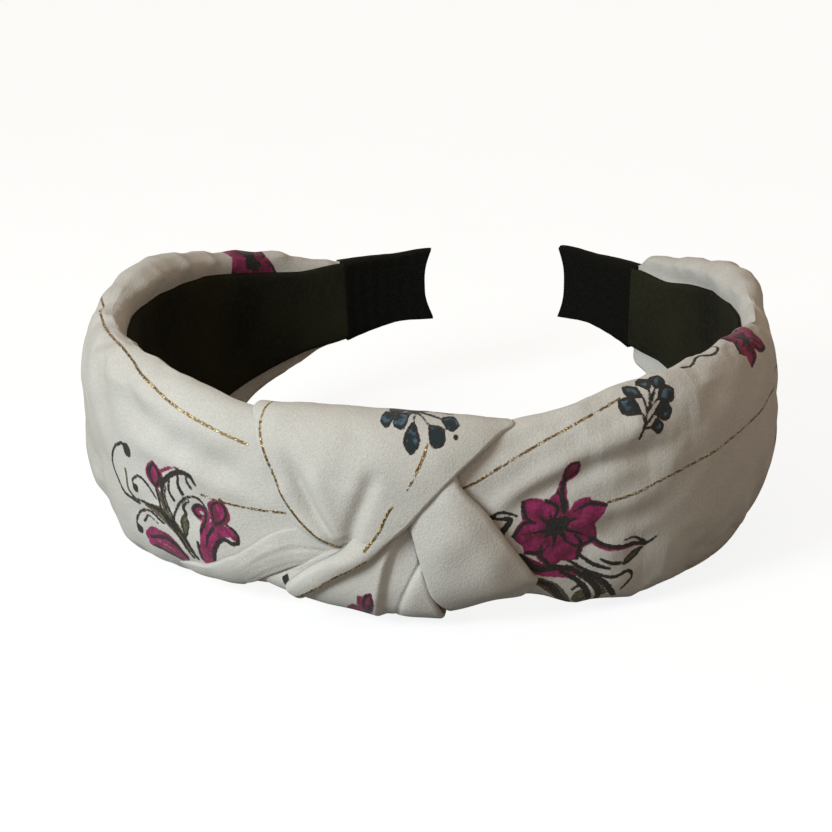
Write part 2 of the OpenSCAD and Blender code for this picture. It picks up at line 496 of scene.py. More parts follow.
def printed_crepe():
    """Cream crepe with a screen-printed floral pattern and woven gold thread stripes, whose colour holds
    painted glints and painted shade.
    """
    n = Nodes("printed_crepe")
    tone = n.level(n.noise(60.0), 0.35, 0.65)
    cream = n.blend(tone, (0.545, 0.53, 0.50), (0.60, 0.588, 0.56))
    pebble = n.noise(3500.0, rough=0.6)
    weave = n.noise(1800.0)
    cream = n.blend(n.level(pebble, 0.36, 0.58, 0.34, 0.0), cream, (0.36, 0.34, 0.305))
    cream = n.blend(n.level(weave, 0.5, 0.7, 0.0, 0.3), cream, (0.68, 0.665, 0.64))
    wobble = n.math("MULTIPLY", n.math("SUBTRACT", n.noise(1300.0, 3.0, rough=0.7), 0.5), 0.75)

    def drawn(name):
        return n.math("ADD", n.field(name), wobble)

    petal = drawn("petal")
    leaf = drawn("leaf")
    blue = drawn("blue")
    ink = drawn("ink")
    thread = n.noise(1900.0, rough=0.8)
    wash = n.noise(420.0)
    magenta = n.blend(n.level(wash, 0.38, 0.62), (0.17, 0.008, 0.05), (0.37, 0.022, 0.145))
    magenta = n.blend(n.level(thread, 0.38, 0.58, 0.6, 0.0), magenta, (0.07, 0.006, 0.02))
    olive = n.blend(n.level(thread, 0.35, 0.65), (0.04, 0.034, 0.016), (0.15, 0.13, 0.075))
    steel = n.blend(n.level(wash, 0.47, 0.6), (0.007, 0.017, 0.023), (0.06, 0.125, 0.185))
    dark = n.blend(n.level(thread, 0.4, 0.7), (0.008, 0.006, 0.006), (0.035, 0.028, 0.024))
    base = n.blend(n.below(leaf, 0.0, 0.1), cream, olive)
    base = n.blend(n.below(blue, 0.0, 0.07), base, steel)
    base = n.blend(n.below(petal, 0.0, 0.12), base, magenta)
    base = n.blend(n.below(ink, 0.0, 0.09), base, dark)

    gold_noise = n.noise(1700.0, rough=0.8)
    gold_wobble = n.math("MULTIPLY", n.math("SUBTRACT", gold_noise, 0.5), 0.55)
    gold_line = n.math("ADD", n.field("gold"), gold_wobble)
    dashes = n.level(n.noise(560.0, 4.0, rough=0.8), 0.38, 0.44)
    gold = n.math("MULTIPLY", n.below(gold_line, 0.27, 0.09), dashes)
    # Gold thread colour is painted light: random bright cells are painted glints, and the dark brown
    # between them is painted shade.
    glint = n.add("ShaderNodeTexVoronoi", {"Scale": 2600.0, "Vector": n.place()})
    painted_glint = n.level(n.add("ShaderNodeSeparateColor", {0: glint.outputs["Color"]}).outputs[0], 0.6, 0.95)
    gold_with_painted_glints = n.blend(painted_glint, (0.17, 0.095, 0.03), (0.78, 0.60, 0.30))
    base = n.blend(gold, base, gold_with_painted_glints)

    height = n.math("ADD", pebble, n.math("MULTIPLY", weave, 0.7))
    height = n.math("ADD", height, n.math("MULTIPLY", gold, 0.8))
    return n.finish(
        Base_Color=base,
        Roughness=n.level(gold, 0.0, 1.0, 0.88, 0.38),
        Metallic=n.math("MULTIPLY", gold, 0.8),
        Sheen_Weight=0.12,
        Sheen_Roughness=0.5,
        Normal=n.bump(height, 0.00016, 0.8),
    )


def brushed_lining():
    """Dark olive-black brushed ribbon."""
    n = Nodes("brushed_lining")
    nap = n.noise(900.0, 4.0, rough=0.7)
    patch = n.noise(45.0)
    base = n.blend(n.level(patch, 0.35, 0.7), (0.006, 0.006, 0.003), (0.018, 0.018, 0.008))
    base = n.blend(n.level(nap, 0.45, 0.8, 0.0, 0.5), base, (0.030, 0.030, 0.016))
    return n.finish(
        Base_Color=base,
        Roughness=0.93,
        Specular_IOR_Level=0.2,
        Normal=n.bump(nap, 0.00012, 0.8),
    )


def ribbed_ribbon():
    """Black ribbon with fine ribs."""
    n = Nodes("ribbed_ribbon")
    inputs = {"Scale": 620.0, "Distortion": 0.6, "Vector": n.place()}
    ribs = n.add("ShaderNodeTexWave", inputs, bands_direction="Z")
    thread = n.noise(2500.0)
    base = n.blend(n.level(thread, 0.4, 0.7), (0.002, 0.002, 0.0015), (0.007, 0.007, 0.005))
    height = n.math("ADD", ribs.outputs["Fac"], n.math("MULTIPLY", thread, 0.5))
    normal = n.bump(height, 0.00012, 0.6)
    return n.finish(Base_Color=base, Roughness=0.8, Specular_IOR_Level=0.12, Normal=normal)


def moulded_plastic():
    n = Nodes("moulded_plastic")
    grain = n.noise(700.0, 3.0)
    base = n.blend(n.level(grain, 0.4, 0.6), (0.012, 0.012, 0.012), (0.02, 0.02, 0.02))
    return n.finish(Base_Color=base, Roughness=0.45, Normal=n.bump(grain, 0.00004, 0.4))


def open_foam():
    n = Nodes("open_foam")
    cells = n.add("ShaderNodeTexVoronoi", {"Scale": 1100.0, "Vector": n.place()})
    far = cells.outputs["Distance"]
    base = n.blend(n.level(far, 0.1, 0.5), (0.55, 0.48, 0.30), (0.78, 0.73, 0.56))
    return n.finish(Base_Color=base, Roughness=0.95, Normal=n.bump(far, 0.0004, 0.9))


CREPE = printed_crepe()
LINING = brushed_lining()
RIBBON = ribbed_ribbon()
PLASTIC = moulded_plastic()
FOAM = open_foam()


# ---- Camera, light and floor
def add_camera():
    """Close three-quarter view from a little to the right of the knot and above it."""
    azimuth, elevation, roll = (math.radians(a) for a in (14.0, 19.75, -1.6))
    target = Vector((0, HOOP_Y, 21)) * MM
    right = Vector((math.cos(azimuth), math.sin(azimuth), 0))
    flat = math.cos(elevation)
    back = Vector((math.sin(azimuth) * flat, -math.cos(azimuth) * flat, math.sin(elevation)))
    up = back.cross(right)
    turned_right = right * math.cos(roll) + up * math.sin(roll)
    turned_up = up * math.cos(roll) - right * math.sin(roll)
    data = bpy.data.cameras.new("camera")
    data.lens = 99.2
    data.shift_x = -0.0202
    data.shift_y = 0.0062
    data.clip_start = 0.01
    camera = bpy.data.objects.new("camera", data)
    place_at = target + back * 0.515
    turn = Matrix((turned_right, turned_up, back)).transposed().to_4x4()
    camera.matrix_world = Matrix.Translation(place_at) @ turn
    bpy.context.scene.collection.objects.link(camera)
    bpy.context.scene.camera = camera


def add_light(name, where, size, power, tint=(1, 1, 1)):
    data = bpy.data.lights.new(name, "AREA")
    data.shape = "DISK"
    data.size = size
    data.energy = power
    data.color = tint
    light = bpy.data.objects.new(name, data)
    light.location = where
    light.rotation_euler = (Vector((0, 0, 0.02)) - Vector(where)).to_track_quat("-Z", "Y").to_euler()
    bpy.context.scene.collection.objects.link(light)


def add_floor():
    """White light-table floor whose own light reaches nothing but itself."""
    corners = [(3000 * x, 3000 * y, 0) for x, y in ((-1, -1), (1, -1), (1, 1), (-1, 1))]
    floor = mesh_object("floor", corners, [(0, 1, 2, 3)])
    n = Nodes("floor")
    pale = n.blend(n.noise(30.0), (0.19, 0.19, 0.188), (0.21, 0.21, 0.208))
    n.finish(Base_Color=pale, Roughness=0.9, Emission_Color=(0.99, 1, 1), Emission_Strength=0.86)
    floor.data.materials.append(n.material)
    receivers = bpy.data.collections.new("floor_light")
    receivers.objects.link(floor)
    floor.light_linking.receiver_collection = receivers


def add_studio():
    """Near cool key from the front left, which fades across the object, in a warm dim room."""
    bpy.context.scene.view_settings.view_transform = "Standard"
    add_light("key", (-0.29, -0.46, 0.31), 0.22, 3.0, (0.88, 0.98, 1.0))
    world = bpy.data.worlds.new("studio")
    world.use_nodes = True
    world.node_tree.nodes["Background"].inputs["Color"].default_value = (1, 0.80, 0.61, 1)
    world.node_tree.nodes["Background"].inputs["Strength"].default_value = 0.44
    bpy.context.scene.world = world
    add_floor()


# ---- Wings
def fold(x, y, points, width, depth, fade_out=0.25):
    """Ridge, or valley if depth is negative, along a line, fading in and out at its ends."""
    far, along = line_distance(x, y, through(points, 5 * len(points)))
    fade = smooth(along / 0.25) * (smooth((1 - along) / fade_out) if fade_out else 1)
    return depth * np.exp(-((far / width) ** 2)) * fade


def angle_steps(start, end, coarse, fine=None, fine_spans=()):
    """Angles from start to end, closer together inside fine_spans."""
    steps = [start]
    while steps[-1] < end:
        t = steps[-1]
        inside = any(a <= t < b for a, b in fine_spans)
        steps.append(t + (fine if inside else coarse))
    steps[-1] = end
    return np.array(steps)


def section_angles():
    face = np.arange(-FACE_EDGE, FACE_EDGE + 0.1, 1.15)
    inside = np.linspace(FACE_EDGE, 360 - FACE_EDGE, 30)[1:-1]
    return np.concatenate([face, inside])


def wing(name, side, fine_spans, draw, nodes):
    """Fabric sleeve of one arm, from under the knot to inside the tip wrap."""
    t = angle_steps(WING_START, WING_END + 2.5, 0.5, 0.26, fine_spans) * side
    b = section_angles()
    tt, bb = np.meshgrid(t, b, indexing="ij")
    k = np.maximum(wing_lift(tt, bb) + stuffed(side)(tt, bb), LEAST_LIFT)
    d, s = section(tt, bb)
    inset = mix(0.9, 2.1, smooth(np.sin(np.radians(bb))))
    in_pocket = place(tt, d / 2, s * (1 - inset / half_height(tt)))
    points = mix(skin(tt, bb, k), in_pocket, beyond(tt, WING_END - 5, 4)[..., None])
    points[..., 2] = np.maximum(points[..., 2], LOWEST)
    p = Print(hoop_length(tt), arc_at(tt, bb))
    draw(p)
    piece = closed_loft(name, [points], p.field)
    piece.data.materials.append(CREPE)
    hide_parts(*nodes)
    bend(piece, side)


def bend(piece, side):
    """Bakes the piece's placement into its mesh and attaches it to the crown."""
    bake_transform(piece)
    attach(piece, "crown")


# How far each edge of the wings is pushed out of the plain section, as (t, distance).
LOWER_EDGE = (
    (-100, 0), (-86, -0.2), (-74, -1.7), (-60, -2.3), (-50, -2.3), (-42, -1.8), (-32, -0.8),
    (-20, -0.8), (-10, 0), (10, 0), (28, 0.4), (36, 2.0), (43, 1.4), (50, 0.3), (57, -1.1),
    (65, -2.3), (75, -2.3), (84, -2.3), (94, -1.6), (104, 0), (114, 1.6), (124, 4.0),
    (134, 4.4), (147, 3.6),
)
UPPER_EDGE = (
    (-150, -2.3), (-143, -2.3), (-134, 0.5), (-122, 1.0), (-112, 2.5), (-102, 3.2), (-92, 2.8),
    (-80, 0), (80, 0), (90, -1.6), (100, -0.8), (110, 1.8), (122, 3.2), (134, 2.0), (150, 0),
)
LEAST_LIFT = -2.3  # the sleeves never sink deeper than this, so that they clear the foam
LOWEST = 0.1  # height of the sleeves' lowest point over the table
# Folds of the wings, as (points as distance round the hoop and q, width, height).
FOLDS = (
    ([(-66, 19), (-50, 14.5), (-36, 9.5), (-18, 6)], 3.2, -0.8),
    ([(-60, 11), (-44, 7), (-30, 4), (-14, 1)], 2.6, 0.6),
    ([(-54, -3), (-44, -4.2), (-37, -4.4), (-31, -4)], 2.6, -0.6),
    ([(-78, 24), (-54, 20), (-36, 16), (-20, 12)], 3.0, 0.5),
    ([(-114, 2), (-100, -3), (-86, -7), (-74, -9)], 8.0, 1.0),
    ([(25, 1.5), (30.4, 4), (37.3, 8.3), (45.8, 12), (57, 15.5), (66, 17)], 2.4, 0.9),
    ([(29, 1.5), (34, 4.0), (41.5, 6.9), (50, 9.3), (62, 10.6), (70, 11)], 2.2, -1.0),
    ([(34, -3), (49.8, -1), (59, 1.5), (68.5, 3)], 3.0, 0.6),
    ([(34, -8), (46, -6.5), (56, -3.4), (66, -1)], 3.0, -0.6),
    ([(24, 11), (32, 15), (42, 19), (56, 22.5)], 2.4, -0.5),
    ([(86, 3), (98, 0), (110, -4), (124, -4)], 8.0, 0.7),
)


def wing_lift(t, b):
    """Displacement of the wings' skin outwards from the plain section."""
    length = hoop_length(t)
    q = arc_at(t, b)
    k = 0.4 * ripple(length, q, 34, 3) + 0.2 * ripple(length, q * 1.6, 15, 4)
    near_end = beyond(t, 125, 22)
    inner = smooth((np.abs(b) - 95) / 16) * smooth((136 - np.abs(b)) / 14) * (1 - near_end)
    hem = 0.5 + 0.5 * np.maximum(ripple(length, q * 0.2, 30, 5), -0.5)
    k = k * (1 - near_end) + inner * np.where(b > 0, hem, 0.3 * hem) * beyond(t, 40, 20)
    for row in FOLDS:
        k = k + fold(length, q, *row)
    k = k * beyond(t, 5, 9)
    resting = smooth((-b - 60) / 15) * beyond(t, 84, 5) * (1 - beyond(t, 94, 5))
    below = np.interp(t, *zip(*LOWER_EDGE)) * smooth((-b - 35) / 45) * smooth((140 + b) / 30)
    above = np.interp(t, *zip(*UPPER_EDGE)) * smooth((b - 30) / 50) * smooth((132 - b) / 30)
    k = mix(k, 0, resting) + below + above
    corner = beyond(t, 50, 12) * (1 - beyond(t, 98, 12)) * (1 - resting)
    return k - 2.0 * corner * np.exp(-(((b + 48) / 24) ** 2))


CLOTH_STEPS = 20
SMOOTHING_PASSES = 14
DEEPEST_WRINKLE = 0.3


def stuffed(side):
    """Fine wrinkles of one wing as a function of t and b, from the cloth simulation of its
    slack sleeve, filled by pressure and held at both ends and along the lining. The slow
    part of the swelling is left out."""
    t = np.linspace(WING_START, WING_END + 2, 74)
    b = np.linspace(-180, 180, 57)
    tt, bb = np.meshgrid(t * side, b[:-1], indexing="ij")
    slack = -0.7 + 0.5 * ripple(hoop_length(tt), arc_at(tt, bb), 14, 21)
    start = skin(tt, bb, slack)
    outwards = skin(tt, bb, slack + 1) - start
    piece = closed_loft("slack_sleeve", [start])
    held = (np.abs(tt) < 26) | (np.abs(tt) > WING_END - 8) | (np.abs(bb) > FACE_EDGE)
    group = piece.vertex_groups.new(name="held")
    group.add(np.flatnonzero(held.ravel()).tolist(), 1.0, "REPLACE")
    cloth = piece.modifiers.new("cloth", "CLOTH")
    for key, value in {
        "quality": 6, "mass": 0.15, "tension_stiffness": 12, "compression_stiffness": 12,
        "shear_stiffness": 5, "bending_stiffness": 0.3, "shrink_min": -0.06,
        "use_pressure": True, "uniform_pressure_force": 1.5, "vertex_group_mass": "held",
    }.items():
        setattr(cloth.settings, key, value)
    cloth.settings.effector_weights.gravity = 0
    cloth.point_cache.frame_end = CLOTH_STEPS
    for step in range(1, CLOTH_STEPS + 1):
        bpy.context.scene.frame_set(step)
    settled = piece.evaluated_get(bpy.context.evaluated_depsgraph_get()).to_mesh()
    points = np.empty(start.size)
    settled.vertices.foreach_get("co", points)
    points = points.reshape(start.shape) / MM
    bpy.data.objects.remove(piece)
    bpy.context.scene.frame_set(1)
    swell = np.clip(((points - start) * outwards).sum(-1), -4, 4)
    slow = swell
    for _ in range(SMOOTHING_PASSES):
        slow = sum(np.roll(slow, shift, axis) for shift in (-1, 1) for axis in (0, 1)) / 4
    wrinkles = np.clip(0.6 * (swell - slow), -DEEPEST_WRINKLE, DEEPEST_WRINKLE)
    swell = wrinkles * beyond(tt, 27, 12)
    swell = np.concatenate([swell, swell[:, :1]], 1)
    step_t, step_b = t[1] - t[0], b[1] - b[0]
    return lambda t, b: bilinear(swell, (np.abs(t) - WING_START) / step_t, (b + 180) % 360 / step_b)


def left_motif(p):
    """Pair of side-on flowers among scrolling stems."""
    p.stroke([(-39.5, -13.5), (-42.5, -9.2), (-46.5, -6.3), (-51.5, -5.5)], 1.5, 1.0, 1.4, "leaf")
    p.stroke([(-47, -1), (-46.2, -3.5), (-44, -6.8)], 1.1, 0.9, 0.7, "leaf")
    p.stroke([(-53.6, -5.8), (-56.8, -3.4), (-57.7, 0.6)], 0.7, 1.0, 0, "leaf")
    p.petal(-40.2, -10.9, 88, 6.0, 2.5, "leaf", outline=0.45)
    for row in (
        ([(-38.4, -15.2), (-40.7, -10.6), (-45.2, -6.6), (-50.7, -5.2), (-56.6, -5.2)], 1.0, 0.6, 0.1),
        ([(-39.6, -15.4), (-42.3, -10.4), (-46.6, -5.6), (-47.4, -1)], 0.6, 0.6, 0.1),
        ([(-43.9, 0.6), (-44.9, -3), (-43.2, -6.8)], 0.4, 0.6, 0.1),
        ([(-45.2, -5.3), (-45.6, -1.4), (-43.9, 2), (-39.7, 4.7), (-36.4, 4.6), (-35.3, 2.8)],
         0.5, 0.8, 0.6),
        ([(-42.6, 2.3), (-43.1, -0.2), (-42.2, -2.1)], 0.6, 1.05),
        ([(-39.9, 3.8), (-40.3, 1.6), (-39.3, -0.1)], 0.6, 1.05),
        ([(-37.3, 4.3), (-37.6, 3), (-36.8, 1.7)], 0.5, 0.85),
        ([(-41, -13.1), (-43, -8.6), (-42.3, -4.7), (-38.5, -0.9), (-35.2, -0.4), (-33.4, -2.4)],
         0.5, 0.6, 0.1),
        ([(-38, -1.6), (-39.9, -3.4), (-39.5, -5.1)], 0.5, 0.9),
        ([(-47.8, -8.9), (-51.4, -8.2), (-53.5, -10)], 0.4, 0.7),
    ):
        p.stroke(*row)
    curl(p, [(-54, -6), (-60.3, -4), (-63.3, 0), (-61.4, 4.6), (-57.6, 6.6), (-55.8, 5.6)], 1.6, 0.75)
    curl(p, [(-48.1, -3.2), (-49.9, -0.4), (-52.3, 0.7), (-54.9, -0.9), (-53.8, -2.3)], 1.0, 0.6)
    curl(p, [(-45.9, -8.4), (-50.2, -6.8), (-54.2, -8), (-56.2, -10.8), (-55.6, -12.4)], 1.1, 0.6)
    p.petal(-47.3, -0.6, 84, 6.0, 4.2, peak=0.5, outline=0.95, halo=0.5)
    p.stroke([(-45.4, 3.4), (-42, 5.1), (-39.2, 5.6)], 1.0, 0.5, 0, "petal")
    # The flower that lies along the lower edge
    p.stroke([(-42.4, -15.6), (-45.6, -12.6), (-50.4, -12.2), (-53, -13.4)], 2.6, 2.4, 1.0, "petal")
    p.stroke([(-44, -16.6), (-48.5, -15.2), (-52.8, -15)], 2.4, 1.9, 0.4, "petal")
    p.stroke([(-41.6, -15.9), (-43.8, -12.9), (-47.4, -12.2), (-52.6, -13.6)], 0.9, 0.8, 0.2)
    p.stroke([(-44.4, -17.2), (-47.8, -16.2), (-52, -15.6)], 1.0, 0.7, 0.2)
    # The upright flower
    p.petal(-31.4, -5.9, 68, 6.8, 4.6, peak=0.58, outline=0.75, halo=0.7)
    p.stroke([(-35.2, -14.8), (-34.4, -11), (-32.8, -7.6), (-31, -6)], 3.6, 3.4, 0, "petal")
    p.stroke([
        (-34.8, -10), (-34.6, -6.5), (-33.7, -3.6), (-35.4, -2.5), (-37.1, -3.6), (-36, -4.8),
    ], 2.3, 1.7, 0, "petal")
    p.stroke([(-33, -10.6), (-30.6, -7.3), (-27.8, -6.3), (-26.2, -7.2)], 3.2, 1.9, 0, "petal")
    p.stroke([
        (-33.2, -14.2), (-32, -10.7), (-29.6, -8.4), (-27.3, -8.8), (-25.7, -8.2), (-25.8, -6.2),
        (-27.9, -4.7),
    ], 1.1, 0.6, 0.2)
    p.stroke([
        (-35.6, -8.2), (-34, -3.8), (-35.4, -2.1), (-37.3, -3.3), (-36.4, -4.9), (-34.9, -4.4),
    ], 0.8, 0.6, 0.1)
    p.stroke([(-36.7, -10.6), (-36.9, -14.8)], 0.9)
    p.stroke([(-34.3, -10.6), (-33.5, -8.3), (-32, -6.4)], 0.6, 1.0)


def left_print(p):
    p.stripe([
        (-186, 0), (-150, 12), (-120, 21), (-95.5, 26.1), (-67, 26.4), (-51.4, 22.2),
        (-42.3, 19.1), (-33.5, 16.6), (-22, 13.7),
    ])
    p.stripe([(-34.2, 0.9), (-30, 0.5), (-24, 0.3), (-14, 0.3)])
    p.stripe([(-186, -14), (-150, -12), (-110, -14), (-86, -17), (-66, -24)])
    left_motif(p)
    ragged_flower(p, -163, 21, (
        (90, 7, 4), (30, 8, 4.4), (-20, 7, 5), (-75, 8, 4), (-130, 7, 4.6), (170, 8, 5), (130, 6, 4),
    ))
    sprig(p, -100, -6, 96, 13, SPRIG_LEAVES)
    ragged_flower(p, -128, 4, (
        (80, 9, 5), (25, 8, 5), (-25, 9.5, 5.4), (-80, 8, 6), (-135, 9, 5), (190, 8, 5.4), (135, 9.6, 5),
    ))
    plume(p, [(-120, 0), (-116, -4), (-111, -5), (-107, -1.6)], ((0.5, 4.2), (0.68, 3.4), (0.84, 2.4)), -1)
    plume(p, [(-126, -4), (-123, -9), (-118, -11.4), (-113, -10)], ((0.5, 4.2), (0.68, 3.4)), -1)
    curl(p, [(-135, 1), (-140, -2), (-145, 0), (-146, 5), (-142, 7)], 1.1)
    sprig(p, -152, -11, 60, 11, SPRIG_LEAVES)


def right_motif(p):
    """Ragged open flower over a fan of scrolls."""
    for row in (
        ([(34.4, -9.8), (38, -12), (42, -13), (44.8, -14.4)], 2.4, 1.6, 1.0, "petal"),
        ([(44, -12.6), (48.6, -15.6), (52, -19.4)], 1.6, 1.4, 0.8, "leaf"),
        ([(37.6, -15), (41, -17.4), (44, -21)], 2.0, 2.2, 0.8, "leaf"),
        ([(33.4, -8.4), (36.8, -11.6), (41, -11.8), (44.2, -13)], 1.3, 0.8, 0.6),
        ([(37, -14.8), (40.2, -16.4), (42.4, -19.6), (44.8, -21.6)], 0.8, 1.5, 0.4),
        ([(45.3, -9.3), (48.9, -12.2), (52.4, -13.6)], 0.6, 0.8, 0.3),
        ([(50.2, -11), (52.4, -12.3), (54.6, -12.7)], 0.5, 0.9, 0.2),
        ([(43.4, -10.6), (47.9, -13.8), (53.1, -15.7), (56.8, -15), (58, -16.8), (55.8, -19)],
         0.7, 0.6, 0.2),
        ([(47.6, -14), (51.8, -17), (54.6, -20.6)], 0.7, 1.2, 0.4),
        ([(43, -11.8), (47.6, -15.2), (50.3, -18.2), (51.4, -22)], 0.7, 1.3, 0.4),
        ([(42, -13), (46, -15.9), (48.4, -19), (49.2, -22)], 0.7, 1.2, 0.3),
        ([(47.8, -6.2), (51, -8.4), (54.5, -9.1), (58, -9.1), (60.6, -9.7)], 1.6, 0.8, 0, "petal"),
        ([(47.8, -5.8), (51, -8.1), (54.5, -8.9), (58, -8.9), (60.6, -9.6), (63.2, -8.1)],
         0.8, 0.6, 0.2),
        ([(55.2, -7.6), (57.8, -7.5), (60.6, -9.3)], 0.4, 0.8),
        ([(41, -1), (41.6, 3.6), (42.5, 7)], 3.6, 1.3, 0, "petal"),
        ([(42.2, 1), (41.9, 4.4), (42.8, 7.4)], 1.2, 0.9),
        ([(27.2, 0.7), (29.6, 1.8), (32.6, 0.6)], 0.8, 0.6),
        ([(27.4, 0.5), (29.4, 0.3), (31.4, -0.2), (29.6, -2.8)], 0.5, 1.5),
    ):
        p.stroke(*row)
    ragged_flower(p, 40.5, -2.6, (
        (84, 7.4, 4.0), (20, 11.0, 5.2), (-24, 9.6, 7.0), (-58, 9.4, 6.6), (-96, 8.8, 6.8),
        (-140, 8.0, 6.2), (188, 8.8, 6.2), (138, 9.0, 5.4), (108, 6.2, 4.4),
    ), 2.0)
    p.petal(42.3, 6.6, 56, 5.2, 3.2, peak=0.6, outline=0.5, halo=0.3)
    p.petal(60.6, -9.8, 212, 6.6, 2.0, "leaf", outline=0.5)
    p.dot(46.6, -19.4, 1.7, "leaf")
    p.stroke([(44.6, -17.4), (46.6, -16.9), (48.2, -18.4)], 0.6)


def right_print(p):
    p.stripe([(12, 3.4), (23.6, 7.9), (29.4, 11.1), (37.6, 15.3), (46, 18.9), (52.6, 21.4), (56, 22.6)])
    p.stripe([
        (51, 1.6), (58.2, 2.9), (65.2, 4.7), (73.2, 5.9), (82, 7.4), (94.8, 9.8), (110, 12.6),
        (150, 14), (186, 10),
    ])
    p.stripe([(96, -24), (112, -17), (134, -11), (160, -9), (188, -8)])
    right_motif(p)
    sprig(p, 57.9, 13.8, 60, 13.4, SPRIG_LEAVES)
    ragged_flower(p, 97.5, 26, (
        (88, 6.4, 4), (20, 6.8, 4), (-42, 6.6, 4), (-118, 6.8, 3.6), (200, 6.2, 4), (140, 7, 4),
    ), 1.4)
    curl(p, [(73.5, 26.4), (76.5, 26.4), (80, 28), (83.6, 26.6), (86.8, 27.4), (88.4, 30.4)], 0.4, 0.6)
    sprig(p, 114, -8, 84, 13, SPRIG_LEAVES)
    ragged_flower(p, 134, 1, (
        (95, 9, 5), (40, 8, 5), (-10, 9.5, 5.4), (-60, 8, 6), (-110, 9, 5), (205, 8, 5.4), (150, 9.6, 5),
    ))
    plume(p, [(126, -3), (121, -6), (116, -5), (113, -1)], ((0.5, 4.2), (0.68, 3.4), (0.84, 2.4)))
    curl(p, [(141, 3), (147, 1), (151, 4), (150, 9), (146, 9.4)], 1.1)
    cup_flower(p, 162, -8, 80, 8.5)
    sprig(p, 156, 8, 120, 10, SPRIG_LEAVES)


# ---- Knot
STRAP_REACH = 9  # a wide span for the normal, so that straps turn smoothly under the edge


def strap(rows, thickness, relief, draw, spacing=0.35, edge=1.0):
    """Flattened tube of fabric on the wings, as rings of points with their printed fields.

    Each row is (left x, left q, right x, right q, lift at the left, in the middle, at the
    right), from the strap's start to its end.
    """
    rows = np.asarray(rows, float)
    span = np.hypot(*np.diff((rows[:, 0:2] + rows[:, 2:4]) / 2, axis=0).T).sum()
    path = through(rows, max(int(span / spacing), 30))
    widest = np.hypot(path[:, 0] - path[:, 2], path[:, 1] - path[:, 3]).max()
    count = int(widest / spacing)
    u = (1 - np.cos(np.linspace(0, math.pi, count))) / 2
    u = mix(u, np.linspace(0, 1, count), 0.65)
    uu, vv = np.meshgrid(u, np.linspace(0, 1, len(path)))
    col = [path[:, [i]] for i in range(7)]
    x = mix(col[0], col[2], uu)
    q = mix(col[1], col[3], uu)
    width = np.hypot(col[0] - col[2], col[1] - col[3])
    lift = col[4] * (1 - uu) * (1 - 2 * uu) + 4 * col[5] * uu * (1 - uu) + col[6] * uu * (2 * uu - 1)
    lift = lift + relief(uu, vv, x, q) + 0.12 * ripple(x, q, 9, count)
    inset = np.minimum(uu, 1 - uu) * width
    rim = np.sqrt(1 - (1 - np.clip(inset / edge, 0, 1)) ** 2)
    t = angle_of_x(x)
    b = angle_at(t, q)
    lift = lift + wing_lift(t, b) * smooth((FACE_EDGE - np.abs(b)) / 24)
    top = skin(t, b, lift + thickness * rim, STRAP_REACH)
    under = skin(t, b, lift - 0.15 * thickness * rim, STRAP_REACH)[:, 1:-1]
    rings = np.concatenate([top, under[:, ::-1]], 1)
    p = Print(*(np.concatenate([at, at[:, -2:0:-1]], 1) for at in (x, q)))
    draw(p)
    return rings, p.field


def fabric_piece(name, straps, node):
    fields = {key: np.concatenate([field[key].ravel() for _, field in straps]) for key in FIELDS}
    piece = closed_loft(name, [rings for rings, _ in straps], fields)
    piece.data.materials.append(CREPE)
    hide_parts(node)
    return piece


def front_relief(u, v, x, q):
    """Folds that fan out from the pinch at the lower end of the fan."""
    return (
        fold(x, q, [(-13.5, 14), (-10.2, 9), (-8.4, 5.2), (-6.8, 2), (-3.6, -2.2), (-1.4, -5)],
             1.5, -1.6, 0)
        + fold(x, q, [(-7, 13), (-4.8, 6), (-3.0, 0.4), (-1.2, -4)], 2.3, 0.9, 0.15)
        + fold(x, q, [(6.2, 12), (3.8, 6.4), (1.4, 0.6), (0.2, -4.6)], 1.7, -1.3, 0)
        + fold(x, q, [(3, 18), (0.5, 12), (-1, 7)], 3.2, -0.5)
        + fold(x, q, [(-14.5, 9), (-12, 4), (-8.4, -0.8), (-4, -4)], 1.4, 0.5, 0.15)
    )


LOW_STRIPE = [(8.9, 4.6), (7.9, 3.1), (6, -0.9), (3.4, -4.4)]


def front_print(p):
    p.stripe([
        (-19, 27), (-19.4, 22), (-19.0, 18.2), (-17.6, 14.4), (-15.4, 9.8), (-12.6, 4),
        (-9.0, -0.4), (-4.6, -4), (-1.2, -6),
    ])
    p.stripe([(15.6, 14.8), (14.9, 13.2), (13.6, 11.0), (11.9, 8.0)])
    p.stripe(LOW_STRIPE)
    heart = (13.0, 20.2)
    for way, middle_at, long, wide in (
        (181, 3.8, 4.0, 2.4), (200, 5.7, 3.2, 2.9), (218, 3.2, 3.8, 3.0),
        (266, 4.4, 4.8, 3.2), (-43, 5.8, 4.2, 3.5), (-14, 7.1, 4.0, 3.0),
    ):
        c, s = heading(way)
        start = middle_at - long / 2
        base = (heart[0] + start * c, heart[1] + start * s)
        p.stroke([heart, base], 0.5)
        p.petal(*base, way, long, wide, "blue", 0.6, outline=0.5)
    p.stroke([heart, (17, 20.6), (20.6, 20.6)], 0.45)
    p.dot(*heart, 0.8)
    p.dot(21, 16.2, 0.45)


def roll_relief(u, v, x, q):
    return 0.15 * np.sin(5 * u + 3 * v) * smooth((v - 0.45) / 0.2)


def roll_print(p):
    p.stripe(LOW_STRIPE)
    p.stripe([(3.4, -6.6), (0.2, -8.5), (-2.9, -10.2), (-8.6, -13.6), (-12.6, -15.8)])


def lower_relief(u, v, x, q):
    return 0.5 * np.exp(-(((u - 0.72) / 0.2) ** 2)) * smooth(v / 0.3) * (1 - smooth((v - 0.6) / 0.2))


def lower_print(p):
    p.stripe([(16.8, -15.6), (18.6, -17), (21.4, -18)])


